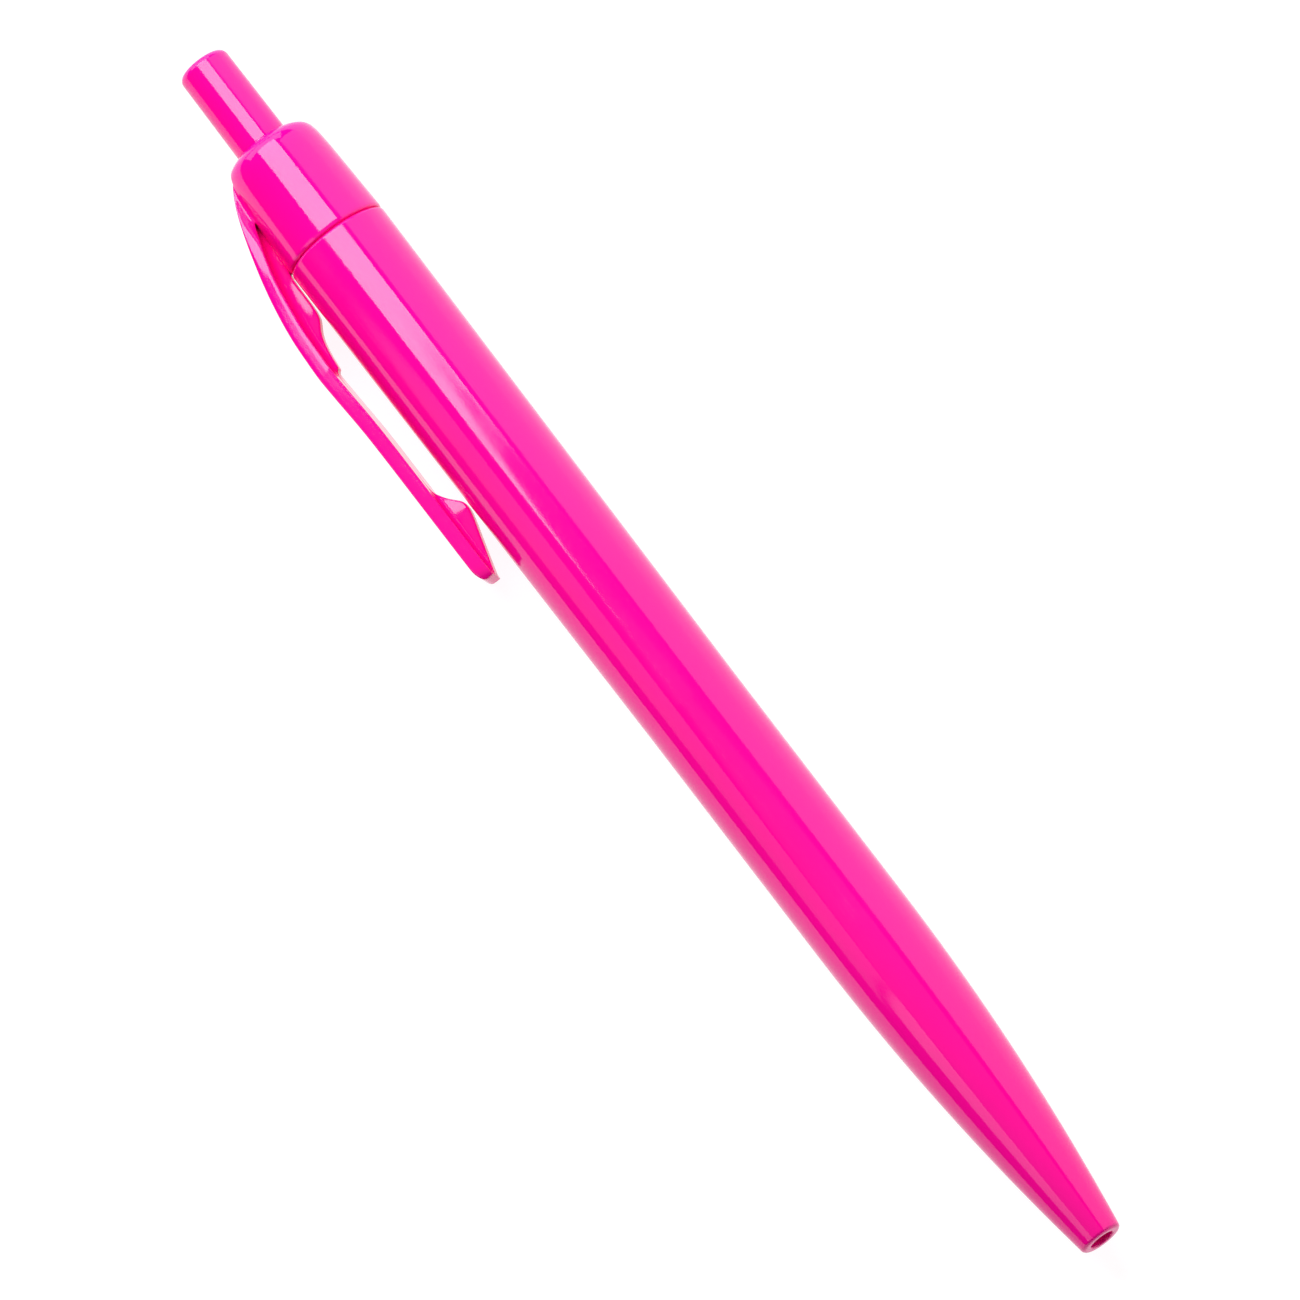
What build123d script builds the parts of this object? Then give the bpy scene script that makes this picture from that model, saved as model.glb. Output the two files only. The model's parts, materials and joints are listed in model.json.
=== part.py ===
from build123d import *
import math
import os

# A slim click pen, in millimetres. Every piece is built on the pen's own axis, which is the X axis: x = 0 is the
# button's end with the point drawn in, and x grows towards the tip. place() then lays the finished pen down.

# ---- overall ----
pen_length = 142.0
button_reach = 9.9          # how far the button stands out of the collar with the point drawn in
collar_length = 11.6        # the collar's visible length, down to the seam
full_stroke = 6.0           # the button's travel to its stop; it latches 1 mm before that

# ---- barrel ----
barrel_top_r = 5.28
barrel_r = 4.95             # the straight stretch where the pen is held
draft_length = 56.5         # the taper from the seam to the straight stretch
nose_length = 38.0
mouth_r = 1.225
tip_wall = 0.895
tip_round = 0.40
seam_round = 0.30
barrel_wall = 1.05
nose_bore_length = 20.0     # the funnel that leads from the main bore into the spring chamber
spring_seat_from_tip = 11.0
mouth_chamfer = 0.18

# ---- collar ----
socket_wall = 0.98          # the barrel's wall round the spigot
spigot_clearance = 0.02
spigot_wall = 0.78          # the spigot's wall round the sleeve
spigot_length = 9.7
socket_spare = 0.5          # the room left past the spigot's end
snap_bead_height = 0.12
snap_bead_from_end = 2.6
collar_top_thickness = 3.1
dome_flat = 0.25            # the flat ring round the button's hole, before the dome begins
dome_height = 0.75
dome_step = 0.38            # how much narrower the collar is under its dome than at the seam
dome_round = 1.4
hole_round = 0.12

# ---- guide sleeve ----
sleeve_clearance = 0.02
sleeve_wall = 0.38
sleeve_seat_gap = 0.05
sleeve_end_gap = 0.15       # how far short of the spigot's end the sleeve stops
guide_rib_depth = 0.35
rib_bite = 0.1              # how far the ribs run into the sleeve's wall
slot_count = 4
slot_width = 1.3
slot_clearance = 0.1
cam_depth = 0.8
index_margin = 0.24         # how far past the ribs' ends the rotor's fins are pushed at the end of the stroke

# ---- button ----
button_clearance = 0.10
button_draft = 0.075
button_round = 0.75
button_hidden = 5.5         # the length that stays inside the collar
button_wall = 1.03
button_cap_thickness = 3.0

# ---- crown and rotor ----
stem_clearance = 0.02
stem_wall = 0.60
stem_cap_gap = 0.5
ring_clearance = 0.15
crown_ring_length = 4.0
tooth_count = 8
tooth_height = 1.0
key_setback = 0.60          # from the button's end to the step that stops the crown's keys
key_stop_gap = 0.02
key_from_teeth = 0.4
key_root_wall = 0.6
fin_length = 4.2
fin_slope = 0.7
rotor_lead = 8.0            # degrees that the rotor's teeth stand off from full mesh with the crown's
rotor_play = 0.08
rotor_neck = 0.4            # how much thinner the rotor's tail is than its ring
rotor_reach = 5.45          # how far the rotor's tail stands out of the sleeve
cup_depth = 3.5
cup_clearance = 0.05

# ---- pocket clip ----
clip_width = 5.6
clip_tip_width = 4.2
clip_neck_width = 3.8       # where it leaves the dome
clip_neck_length = 4.3      # from the collar's top to the clip's full width
clip_tip_round = 2.0
clip_reach = 46.4           # from the collar's top to the clip's end
clip_thickness = 1.45
pocket_gap = 1.89           # clear space between the barrel's top and the clip's straight stretch
clip_crown_rise = 0.33      # how much further out the top of the arch stands than the straight stretch
clip_crown_from_seam = 10.0
clip_straight_from_crown = 6.5
clip_root_from_top = 3.7    # where the part that bends begins
clip_root_rise = 0.65       # how far the outer face stands out of the dome's shoulder there
clip_crotch_from_top = 5.5  # where the inner face leaves the collar
clip_crotch_rise = 0.05     # the inner face begins this far out, just under the collar's skin
clip_heel_back = 3.0        # the blade's heel, buried in the dome, behind and inside the crotch
clip_heel_sink = 1.75
clip_start_back = 0.35      # where the outer face leaves the dome
clip_start_rise = 0.45
clip_joint_gap = 0.06
clip_end_round = 0.9
arch_low = (0.29, 0.50)     # points of the arch, as shares of the way from its root to its crown
arch_high = (0.61, 0.855)
under_low = (0.26, 0.49)
under_high = (0.59, 0.85)
rib_width = 1.2
rib_height = 0.50           # how far the rib under the arch stands in where it stops
gusset_from_crown = 5.3     # the rib deepens to fill the crotch as far down as this
gusset_gap = 0.12
foot_length = 9.9
foot_apex_from_end = 6.8
foot_flank = 1.2
foot_pad_depth = 0.72       # the pad under the blade, from which the narrower wedge stands in
foot_pad_width = 3.2
foot_wedge_width = 1.4
foot_flat = 1.1             # length of the wedge's edge along the barrel
foot_gap = 0.07
foot_round = 0.5
foot_edge_round = 0.35

# ---- refill ----
ball_from_mouth = 1.7       # how deep the ball sits inside the mouth with the point drawn in
tube_r = 1.5
tube_wall = 0.5
tube_play = 0.05
tube_front_from_tip = 36.0
ink_rear_x = 58.0
follower_length = 4.0
follower_dip = 0.5
liquid_clearance = 0.02
plug_clearance = 0.02
holder_plug_length = 4.0
holder_flange_length = 1.2
holder_front_from_tip = 13.0
shank_clearance = 0.075
feed_r = 0.5
ball_r = 0.5
ball_clearance = 0.02
ball_show = 0.28            # how far the ball stands out of its socket
socket_lip = 0.14
lip_round = 0.15
point_feed_r = 0.28
point_cone_length = 3.7
socket_tail_r = 0.60
socket_tail_length = 4.0

# ---- spring ----
wire_r = 0.175
spring_clearance = 0.15     # between the wire and the refill's shank
chamber_clearance = 0.30    # between the wire and the spring chamber
flange_clearance = 0.20
spring_turns = 11
spring_end_gap = 0.02

# ---- sizes and places worked out from those above ----
seam_x = button_reach + collar_length
spigot_end_x = seam_x + spigot_length
grip_start_x = seam_x + draft_length
nose_start_x = pen_length - nose_length
barrel_bore_r = barrel_r - barrel_wall
nose_bore_end_x = nose_start_x + nose_bore_length
barrel_socket_r = barrel_top_r - socket_wall
socket_bore_end_x = spigot_end_x + socket_spare
tip_r = mouth_r + tip_wall

spigot_r = barrel_socket_r - spigot_clearance
sleeve_recess_r = spigot_r - spigot_wall
sleeve_r = sleeve_recess_r - sleeve_clearance
slot_r = sleeve_r - sleeve_wall
button_hole_r = slot_r - guide_rib_depth
button_r = button_hole_r - button_clearance
button_end_r = button_r - button_draft
button_core_r = button_r - button_wall
crown_bore_r = button_core_r - stem_clearance - stem_wall
ring_r = button_hole_r - ring_clearance
key_r = slot_r - slot_clearance
key_width = slot_width - 2 * slot_clearance
dome_ring_r = button_hole_r + dome_flat
dome_r = barrel_top_r - dome_step

recess_x = button_reach + collar_top_thickness
sleeve_x = recess_x + sleeve_seat_gap
sleeve_end_x = spigot_end_x - sleeve_end_gap
crown_x = button_reach + button_hidden
slot_x = crown_x + key_setback
crown_teeth_x = crown_x + crown_ring_length
mesh_gap = tooth_height * rotor_lead / (180 / tooth_count) + rotor_play
rotor_teeth_x = crown_teeth_x + mesh_gap
rotor_ring_x = rotor_teeth_x + tooth_height
rib_end_x = rotor_ring_x + full_stroke - index_margin
rotor_end_x = sleeve_end_x + rotor_reach
cup_floor_x = rotor_end_x - cup_depth

clip_end_x = button_reach + clip_reach
clip_root_x = button_reach + clip_root_from_top
clip_crotch_x = button_reach + clip_crotch_from_top
clip_crown_x = seam_x + clip_crown_from_seam
clip_straight_x = clip_crown_x + clip_straight_from_crown
clip_inner_r = barrel_top_r + pocket_gap
clip_face_r = clip_inner_r + clip_thickness
clip_crown_r = clip_face_r + clip_crown_rise
clip_root_r = dome_r + clip_root_rise
clip_crotch_r = dome_r + clip_crotch_rise
foot_start_x = clip_end_x - foot_length
foot_apex_x = clip_end_x - foot_apex_from_end
gusset_end_x = clip_crown_x - gusset_from_crown

tube_bore_r = tube_r - tube_wall
cup_r = tube_r + cup_clearance
tube_front_x = pen_length - tube_front_from_tip
flange_end_x = tube_front_x + holder_flange_length
holder_front_x = pen_length - holder_front_from_tip
holder_plug_r = tube_bore_r - plug_clearance
shank_r = mouth_r - shank_clearance
socket_bore_r = socket_tail_r + plug_clearance
point_lip_r = ball_r + socket_lip
ball_x = pen_length - ball_from_mouth - ball_r
socket_front_x = ball_x + ball_r - ball_show

spring_r = shank_r + spring_clearance + wire_r
spring_chamber_r = spring_r + wire_r + chamber_clearance
holder_flange_r = spring_chamber_r - flange_clearance
spring_seat_x = pen_length - spring_seat_from_tip

# The clip hangs a little, so that the pen lies on its barrel and on the lower corner of the clip's crown.
clip_corner_r = math.hypot(clip_crown_r, clip_width / 2)
clip_droop = math.degrees(math.asin(barrel_top_r / clip_corner_r) - math.atan2(clip_width / 2, clip_crown_r))


def rounded(section, *corners):
    """A flat section with the corner nearest each (x, r) rounded to the given radius."""
    for x, r, radius in corners:
        section = fillet(section.vertices().sort_by_distance((x, r, 0))[0], radius)
    return section


def turned(section):
    """A half-section in the (x, radius) plane, turned about the pen's axis."""
    return revolve(section, Axis.X)


def tube(x0, x1, outer, inner):
    """A plain round tube along the axis; inner 0 makes it a rod."""
    return turned(make_face(Polyline((x0, inner), (x1, inner), (x1, outer), (x0, outer), close=True)))


def around(shape, count, start=0.0):
    """Copies of a shape, evenly spaced about the pen's axis."""
    return [Rot(start + k * 360 / count, 0, 0) * shape for k in range(count)]


def prism(points, inner, outer):
    """A prism whose (x, sideways) outline is cut radially, between two distances from the axis, on the +Z side."""
    return extrude(Plane.XY.offset(inner) * make_face(Polyline(*points, close=True)), outer - inner)


# ---- barrel ----
def make_barrel():
    """A tapered tube whose nose is one arc, tangent to the straight stretch, with stepped bores down its middle."""
    outline = [
        Line((seam_x, barrel_socket_r), (seam_x, barrel_top_r)),
        Line((seam_x, barrel_top_r), (grip_start_x, barrel_r)),
        Line((grip_start_x, barrel_r), (nose_start_x, barrel_r)),
        TangentArc((nose_start_x, barrel_r), (pen_length, tip_r), tangent=(1, 0)),
        Polyline(
            (pen_length, tip_r),
            (pen_length, mouth_r + mouth_chamfer),
            (pen_length - mouth_chamfer, mouth_r),
            (spring_seat_x, mouth_r),
            (spring_seat_x, spring_chamber_r),
            (nose_bore_end_x, spring_chamber_r),
            (nose_start_x, barrel_bore_r),
            (socket_bore_end_x, barrel_bore_r),
            (socket_bore_end_x, barrel_socket_r),
            (seam_x, barrel_socket_r),
        ),
    ]
    section = rounded(
        make_face(outline),
        (seam_x, barrel_top_r, seam_round),
        (pen_length, tip_r, tip_round),
    )
    body = turned(section)
    return body - snap_ring(spigot_end_x - snap_bead_from_end, barrel_socket_r, snap_bead_height + spigot_clearance)


def snap_ring(x, base_r, height):
    """A low V-shaped ring round the spigot, or the groove that it snaps into."""
    spread = 4 * height
    low = base_r - 0.2
    section = Polyline(
        (x - spread, low), (x - spread, base_r), (x, base_r + height), (x + spread, base_r), (x + spread, low),
        close=True,
    )
    return turned(make_face(section))


# ---- collar ----
def collar_skin(grow=0.0):
    """The collar's outer body, solid through, as it would be with no hole; grow makes it fatter all round."""
    shoulder_x = button_reach + dome_height
    section = make_face(Polyline(
        (button_reach, 0), (button_reach, dome_ring_r), (shoulder_x, dome_r), (seam_x, barrel_top_r), (seam_x, 0),
        close=True,
    ))
    section = rounded(section, (shoulder_x, dome_r, dome_round))
    section = rounded(section, (seam_x, barrel_top_r, seam_round))
    if grow:
        section = offset(section, grow)
        section -= make_face(Polyline((0, 0), (0, -grow), (pen_length, -grow), (pen_length, 0), close=True))
    return turned(section)


def make_collar():
    body = collar_skin() + tube(seam_x - 1, spigot_end_x, spigot_r, 0)
    body += snap_ring(spigot_end_x - snap_bead_from_end, spigot_r, snap_bead_height)
    body += clip_stub()
    body -= tube(button_reach - 1, recess_x + 1, button_hole_r, 0)
    body -= tube(recess_x, spigot_end_x + 1, sleeve_recess_r, 0)
    rim = body.edges().filter_by(GeomType.CIRCLE).sort_by_distance((button_reach, 0, button_hole_r))[0]
    return fillet(rim, hole_round)


# ---- pocket clip ----
# The clip is drawn flat, in its own side view: along the pen, and outwards from the axis. That side view lies in a
# plane through the axis; its outward direction is -Y here, and the droop turns it downwards.
clip_plane = Plane(origin=(0, 0, 0), x_dir=(1, 0, 0), z_dir=(0, 0, -1))
droop = Rot(clip_droop, 0, 0)
clip_start = (button_reach + clip_start_back, dome_ring_r + clip_start_rise)
clip_root = (clip_root_x, clip_root_r)
clip_crown = (clip_crown_x, clip_crown_r)
clip_crotch = (clip_crotch_x, clip_crotch_r)
clip_under_crown = (clip_crown_x, clip_crown_r - clip_thickness)
clip_heel = (clip_crotch_x - clip_heel_back, clip_crotch_r - clip_heel_sink)


def part_way(start, end, shares):
    """The point whose place along and out are those shares of the way from start to end."""
    return tuple(a + share * (b - a) for a, b, share in zip(start, end, shares))


def clip_outer_line():
    """The clip's outer face: it leaves the dome, arches over to its crown and runs on straight to its end."""
    arch = Spline(
        clip_start,
        clip_root,
        part_way(clip_root, clip_crown, arch_low),
        part_way(clip_root, clip_crown, arch_high),
        clip_crown,
        tangents=((0.9, 1.75), (1, 0)),
    )
    ease = Spline(clip_crown, (clip_straight_x, clip_face_r), tangents=((1, 0), (1, 0)))
    straight = Line((clip_straight_x, clip_face_r), (clip_end_x, clip_face_r))
    return [arch, ease, straight]


def clip_blade():
    """The clip's plate, extruded sideways, with its tip narrowed and its end rounded."""
    under_arch = Spline(
        clip_heel,
        clip_crotch,
        part_way(clip_crotch, clip_under_crown, under_low),
        part_way(clip_crotch, clip_under_crown, under_high),
        clip_under_crown,
        tangents=((1, 0.6), (1, 0)),
    )
    outline = clip_outer_line() + [
        Line((clip_end_x, clip_face_r), (clip_end_x, clip_inner_r)),
        Line((clip_straight_x, clip_inner_r), (clip_end_x, clip_inner_r)),
        Spline(clip_under_crown, (clip_straight_x, clip_inner_r), tangents=((1, 0), (1, 0))),
        under_arch,
        Line(clip_heel, clip_start),
    ]
    section = rounded(make_face(outline), (clip_end_x, clip_face_r, clip_end_round))
    blade = extrude(clip_plane * section, clip_width / 2, both=True)
    return blade & clip_plan()


def clip_plan():
    """The clip seen from outside: a neck that widens, full width over the arch, then narrowing to a round end."""
    half_neck = clip_neck_width / 2
    half = clip_width / 2
    half_tip = clip_tip_width / 2
    full_x = button_reach + clip_neck_length
    edge = [
        (0, half_neck), (button_reach + dome_height, half_neck), (full_x, half), (clip_crown_x, half),
        (clip_end_x, half_tip),
    ]
    face = make_face(Polyline(*edge, *[(x, -y) for x, y in reversed(edge)], close=True))
    waist_round = clip_end_x - clip_crown_x
    plan = rounded(
        face,
        (clip_crown_x, -half, waist_round),
        (clip_crown_x, half, waist_round),
        (full_x, -half, clip_width),
        (full_x, half, clip_width),
        (clip_end_x, -half_tip, clip_tip_round),
        (clip_end_x, half_tip, clip_tip_round),
    )
    return extrude(Plane.XZ * plan, clip_crown_r + 1)


def barrel_skin(grow):
    """The barrel's tapered outside, solid through and fatter by grow, from the seam to the straight stretch."""
    return turned(make_face(Polyline(
        (seam_x - 1, 0), (seam_x - 1, barrel_top_r + grow), (seam_x, barrel_top_r + grow),
        (grip_start_x, barrel_r + grow), (grip_start_x, 0),
        close=True,
    )))


def clip_rib():
    """The thin rib under the arch: it fills the crotch like a gusset, then thins and stops short at the crown."""
    arch = clip_outer_line()[0]
    inside_blade = [(p.X, p.Y - clip_thickness / 2) for p in (arch @ share for share in (1, 0.75, 0.5, 0.3))]
    stop = (clip_crown_x, clip_crown_r - clip_thickness - rib_height)
    hidden_r = barrel_top_r - 0.4
    edge = Spline(
        (gusset_end_x - 0.2, hidden_r),
        part_way((gusset_end_x, barrel_top_r), stop, (0.28, 0.62)),
        stop,
        tangents=((0.25, 1), (1, 0.1)),
    )
    closing = Polyline(*inside_blade, (clip_root_x, hidden_r), (gusset_end_x - 0.2, hidden_r))
    section = make_face([edge, Line(stop, inside_blade[0]), closing])
    return extrude(clip_plane * section, rib_width / 2, both=True)


def clip_foot():
    """The foot that holds the pocket: a broad pad, and a narrower wedge that slopes back from near the barrel."""
    barrel_here = barrel_top_r + (barrel_r - barrel_top_r) * (foot_apex_x - seam_x) / draft_length
    apex_r = barrel_here + foot_gap
    pad_r = clip_inner_r - foot_pad_depth
    bury_r = clip_inner_r + clip_thickness / 4
    shoulder = (foot_start_x + foot_flank, pad_r)
    apex_rear = (foot_apex_x - 0.7 * foot_flat, apex_r)
    apex_front = (foot_apex_x + 0.3 * foot_flat, apex_r)
    whole = make_face(Polyline(
        (foot_start_x, bury_r),
        (foot_start_x, clip_inner_r),
        shoulder,
        apex_rear,
        apex_front,
        (clip_end_x, clip_inner_r - foot_gap),
        (clip_end_x, bury_r),
        close=True,
    ))
    wedge = rounded(whole, (*apex_rear, foot_edge_round), (*apex_front, foot_round))
    pad = whole & make_face(Polyline(
        (foot_start_x, pad_r), (clip_end_x, pad_r), (clip_end_x, bury_r), (foot_start_x, bury_r), close=True
    ))
    foot = extrude(clip_plane * wedge, foot_wedge_width / 2, both=True)
    foot += extrude(clip_plane * pad, foot_pad_width / 2, both=True)
    return foot & clip_plan()


def clip_cutter(behind):
    """Half-space on the collar's side (behind) or the tip's side of the line where the clip starts to bend."""
    x0, x1 = (0, clip_root_x) if behind else (clip_root_x + clip_joint_gap, pen_length)
    far = clip_crown_r + 1
    face = make_face(Polyline((x0, 0), (x1, 0), (x1, far), (x0, far), close=True))
    return extrude(clip_plane * face, clip_width, both=True)


def clip_stub():
    """The fixed root of the clip, which is moulded onto the collar's dome."""
    return droop * (clip_blade() & clip_cutter(True))


def make_pocket_clip():
    body = clip_blade() + clip_rib() + clip_foot()
    body &= clip_cutter(False)
    body -= collar_skin(clip_joint_gap)
    body -= barrel_skin(gusset_gap) & tube(seam_x - 1, clip_crown_x, barrel_top_r + 1, 0)
    return droop * body


# ---- button ----
def make_push_button():
    section = make_face(Polyline(
        (0, 0), (0, button_end_r), (button_reach, button_r), (crown_x, button_r),
        (crown_x, button_core_r), (button_cap_thickness, button_core_r), (button_cap_thickness, 0),
        close=True,
    ))
    return turned(rounded(section, (0, button_end_r, button_round)))


# ---- click mechanism ----
def tooth_gap(base_x, towards_tip):
    """One V-shaped gap between two teeth, as a radial prism on the +Z side."""
    half = math.pi * ring_r / tooth_count
    top_x = base_x + tooth_height if towards_tip else base_x - tooth_height
    over = 0.5 if towards_tip else -0.5
    return prism([(base_x, 0), (top_x, half), (top_x + over, half), (top_x + over, -half), (top_x, -half)], 0, 5)


def make_thrust_crown():
    tip_x = crown_teeth_x + tooth_height
    body = tube(button_cap_thickness + stem_cap_gap, crown_x, button_core_r - stem_clearance, crown_bore_r)
    body += tube(crown_x, tip_x, ring_r, crown_bore_r)
    for gap in around(tooth_gap(crown_teeth_x, True), tooth_count):
        body -= gap
    key_x = slot_x + key_stop_gap
    key_end_x = crown_teeth_x - key_from_teeth
    key_root_r = crown_bore_r + key_root_wall
    key = Pos((key_x + key_end_x) / 2, 0, (key_r + key_root_r) / 2) * Box(
        key_end_x - key_x, key_width, key_r - key_root_r
    )
    for shape in around(key, slot_count):
        body += shape
    return body


def make_guide_sleeve():
    seat_r = slot_r + rib_bite
    ribs = tube(slot_x - 0.5, rib_end_x, seat_r, button_hole_r)
    slot = Pos((slot_x + rib_end_x + 1) / 2, 0, sleeve_r / 2) * Box(rib_end_x + 1 - slot_x, slot_width, sleeve_r)
    for shape in around(slot, slot_count):
        ribs -= shape
    for shape in around(cam_cut(), 2 * slot_count, 90 / slot_count):
        ribs -= shape
    return ribs + tube(sleeve_x, sleeve_end_x, sleeve_r, slot_r) + tube(sleeve_x, slot_x, seat_r, button_hole_r)


def cam_cut():
    """The slanted end of a rib: a sawtooth that turns the rotor on to its next stop."""
    half = math.pi * slot_r / (2 * slot_count)
    points = [(rib_end_x - cam_depth, -half), (rib_end_x, half), (rib_end_x + 1, half), (rib_end_x + 1, -half)]
    return prism(points, 1.0, sleeve_r)


def make_rotor():
    body = tube(rotor_teeth_x, rotor_ring_x + fin_length, ring_r, 0)
    lead = 180 / tooth_count - rotor_lead
    for gap in around(tooth_gap(rotor_teeth_x + tooth_height, False), tooth_count, lead):
        body -= gap
    fin = prism(
        [
            (rotor_ring_x, -key_width / 2),
            (rotor_ring_x + fin_slope, key_width / 2),
            (rotor_ring_x + fin_length, key_width / 2),
            (rotor_ring_x + fin_length, -key_width / 2),
        ],
        1.0,
        key_r,
    )
    for shape in around(fin, slot_count):
        body += shape
    body += tube(rotor_ring_x + fin_length - 0.5, rotor_end_x, ring_r - rotor_neck, 0)
    return body - tube(cup_floor_x, rotor_end_x + 1, cup_r, 0)


# ---- refill ----
def make_refill_tube():
    return tube(cup_floor_x + tube_play, tube_front_x, tube_r, tube_bore_r)


def make_ink_column():
    plug_x = tube_front_x - holder_plug_length
    feed_end_x = holder_front_x - socket_tail_length - liquid_clearance
    return tube(ink_rear_x, plug_x - liquid_clearance, tube_bore_r - liquid_clearance, 0) + tube(
        plug_x - 1, feed_end_x, feed_r - liquid_clearance, 0
    )


def make_ink_follower():
    front_x = ink_rear_x - liquid_clearance
    rear_x = front_x - follower_length
    wetted_r = tube_bore_r - liquid_clearance
    section = make_face([
        Polyline((rear_x, 0), (front_x, 0), (front_x, wetted_r)),
        Line((front_x, wetted_r), (rear_x - follower_dip, wetted_r)),
        Line((rear_x - follower_dip, wetted_r), (rear_x, 0)),
    ])
    return turned(section)


def make_tip_holder():
    body = tube(tube_front_x - holder_plug_length, tube_front_x, holder_plug_r, 0)
    body += tube(tube_front_x, flange_end_x, holder_flange_r, 0)
    body += tube(flange_end_x, holder_front_x, shank_r, 0)
    body -= tube(tube_front_x - holder_plug_length - 1, holder_front_x, feed_r, 0)
    return body - tube(holder_front_x - socket_tail_length, holder_front_x + 1, socket_bore_r, 0)


def make_writing_point():
    cone_x = socket_front_x - point_cone_length
    tail_x = holder_front_x - socket_tail_length
    section = make_face(Polyline(
        (tail_x, point_feed_r), (tail_x, socket_tail_r), (holder_front_x, socket_tail_r), (holder_front_x, shank_r),
        (cone_x, shank_r), (socket_front_x - lip_round, point_lip_r), (socket_front_x, point_lip_r - lip_round / 2),
        (socket_front_x, point_feed_r),
        close=True,
    ))
    return turned(section) - Pos(ball_x, 0, 0) * Sphere(ball_r + ball_clearance)


def make_ball():
    return Pos(ball_x, 0, 0) * Sphere(ball_r)


# ---- spring ----
def make_return_spring():
    start_x = flange_end_x + wire_r + spring_end_gap
    length = spring_seat_x - wire_r - spring_end_gap - start_x
    helix = Helix(length / spring_turns, length, spring_r, center=(start_x, 0, 0), direction=(1, 0, 0))
    wire = Plane(helix @ 0, z_dir=helix % 0) * Circle(wire_r)
    return sweep(wire, path=helix, is_frenet=True)


pieces = {
    "barrel": make_barrel(),
    "collar": make_collar(),
    "pocket_clip": make_pocket_clip(),
    "push_button": make_push_button(),
    "thrust_crown": make_thrust_crown(),
    "guide_sleeve": make_guide_sleeve(),
    "rotor": make_rotor(),
    "refill_tube": make_refill_tube(),
    "ink_column": make_ink_column(),
    "ink_follower": make_ink_follower(),
    "tip_holder": make_tip_holder(),
    "writing_point": make_writing_point(),
    "ball": make_ball(),
    "return_spring": make_return_spring(),
}

# ---- place: the pen lies on its barrel and the clip's lower edge, centred over the origin ----
box = Compound([shape for name, shape in pieces.items() if name in ("barrel", "pocket_clip")]).bounding_box()
place = Pos(-pen_length / 2, -(box.min.Y + box.max.Y) / 2, -box.min.Z)

os.makedirs("parts", exist_ok=True)
for name, shape in pieces.items():
    export_step(place * shape, f"parts/{name}.step")
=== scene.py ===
"""The looks of a slim click pen in highlighter pink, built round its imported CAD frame."""
import json
import math

import bmesh
import bpy
import numpy as np
from mathutils import Matrix, Vector


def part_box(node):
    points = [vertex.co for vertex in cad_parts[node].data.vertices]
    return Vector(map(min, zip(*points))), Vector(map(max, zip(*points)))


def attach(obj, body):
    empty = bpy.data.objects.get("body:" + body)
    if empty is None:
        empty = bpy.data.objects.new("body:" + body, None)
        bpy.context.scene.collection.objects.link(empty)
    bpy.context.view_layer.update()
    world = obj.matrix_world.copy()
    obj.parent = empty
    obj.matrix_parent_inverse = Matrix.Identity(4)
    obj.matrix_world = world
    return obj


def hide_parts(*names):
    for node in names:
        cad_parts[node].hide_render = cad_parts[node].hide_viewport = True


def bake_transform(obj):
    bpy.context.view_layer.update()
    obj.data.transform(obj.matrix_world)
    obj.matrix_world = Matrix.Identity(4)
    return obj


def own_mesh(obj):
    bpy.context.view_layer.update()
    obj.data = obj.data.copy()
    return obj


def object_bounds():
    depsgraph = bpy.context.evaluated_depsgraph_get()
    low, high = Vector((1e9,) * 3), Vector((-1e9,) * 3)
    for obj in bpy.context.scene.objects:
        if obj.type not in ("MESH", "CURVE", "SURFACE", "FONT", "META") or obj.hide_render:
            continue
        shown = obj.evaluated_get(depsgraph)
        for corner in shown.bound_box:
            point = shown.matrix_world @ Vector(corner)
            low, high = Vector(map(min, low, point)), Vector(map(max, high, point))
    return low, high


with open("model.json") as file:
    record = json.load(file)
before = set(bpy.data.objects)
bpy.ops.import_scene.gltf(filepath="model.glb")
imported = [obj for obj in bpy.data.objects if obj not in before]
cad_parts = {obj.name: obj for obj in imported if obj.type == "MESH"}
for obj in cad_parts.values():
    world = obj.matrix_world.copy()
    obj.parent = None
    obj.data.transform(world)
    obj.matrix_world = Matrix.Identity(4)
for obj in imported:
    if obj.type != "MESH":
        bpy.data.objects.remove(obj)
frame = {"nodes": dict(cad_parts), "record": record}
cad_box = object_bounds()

MM = 0.001


# --------------------------------------------------------------------------------------------------------
# Barrel: one injection moulding in glossy styrene, tapered a little from the seam to a straight grip, with
# a nose that curves in to the mouth. It is moulded on a long steel core, which leaves faint flow waves.
# --------------------------------------------------------------------------------------------------------
button_low, button_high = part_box("push_button")
barrel_low, barrel_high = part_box("barrel")
axis_y = (button_low[1] + button_high[1]) / 2
axis_z = (button_low[2] + button_high[2]) / 2
AXIS = np.array([button_low[0], axis_y, axis_z])
pen_length = (barrel_high[0] - button_low[0]) / MM
seam_x = (barrel_low[0] - button_low[0]) / MM
barrel_top_r = (barrel_high[1] - barrel_low[1]) / 2 / MM
grip_r = 4.95
grip_start_x = seam_x + 56.5
nose_length = 38.0
nose_start_x = pen_length - nose_length
nose_end_r = 2.12
mouth_r = 1.225
mouth_start_x = pen_length - 11.0
chamber_r = 1.95
chamber_start_x = nose_start_x + 20.0
barrel_bore_r = 3.9
socket_r = 4.3
socket_end_x = seam_x + 10.2
seam_gap = 0.12
seam_inner_r = 4.95
seam_step_r = 4.93


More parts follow.
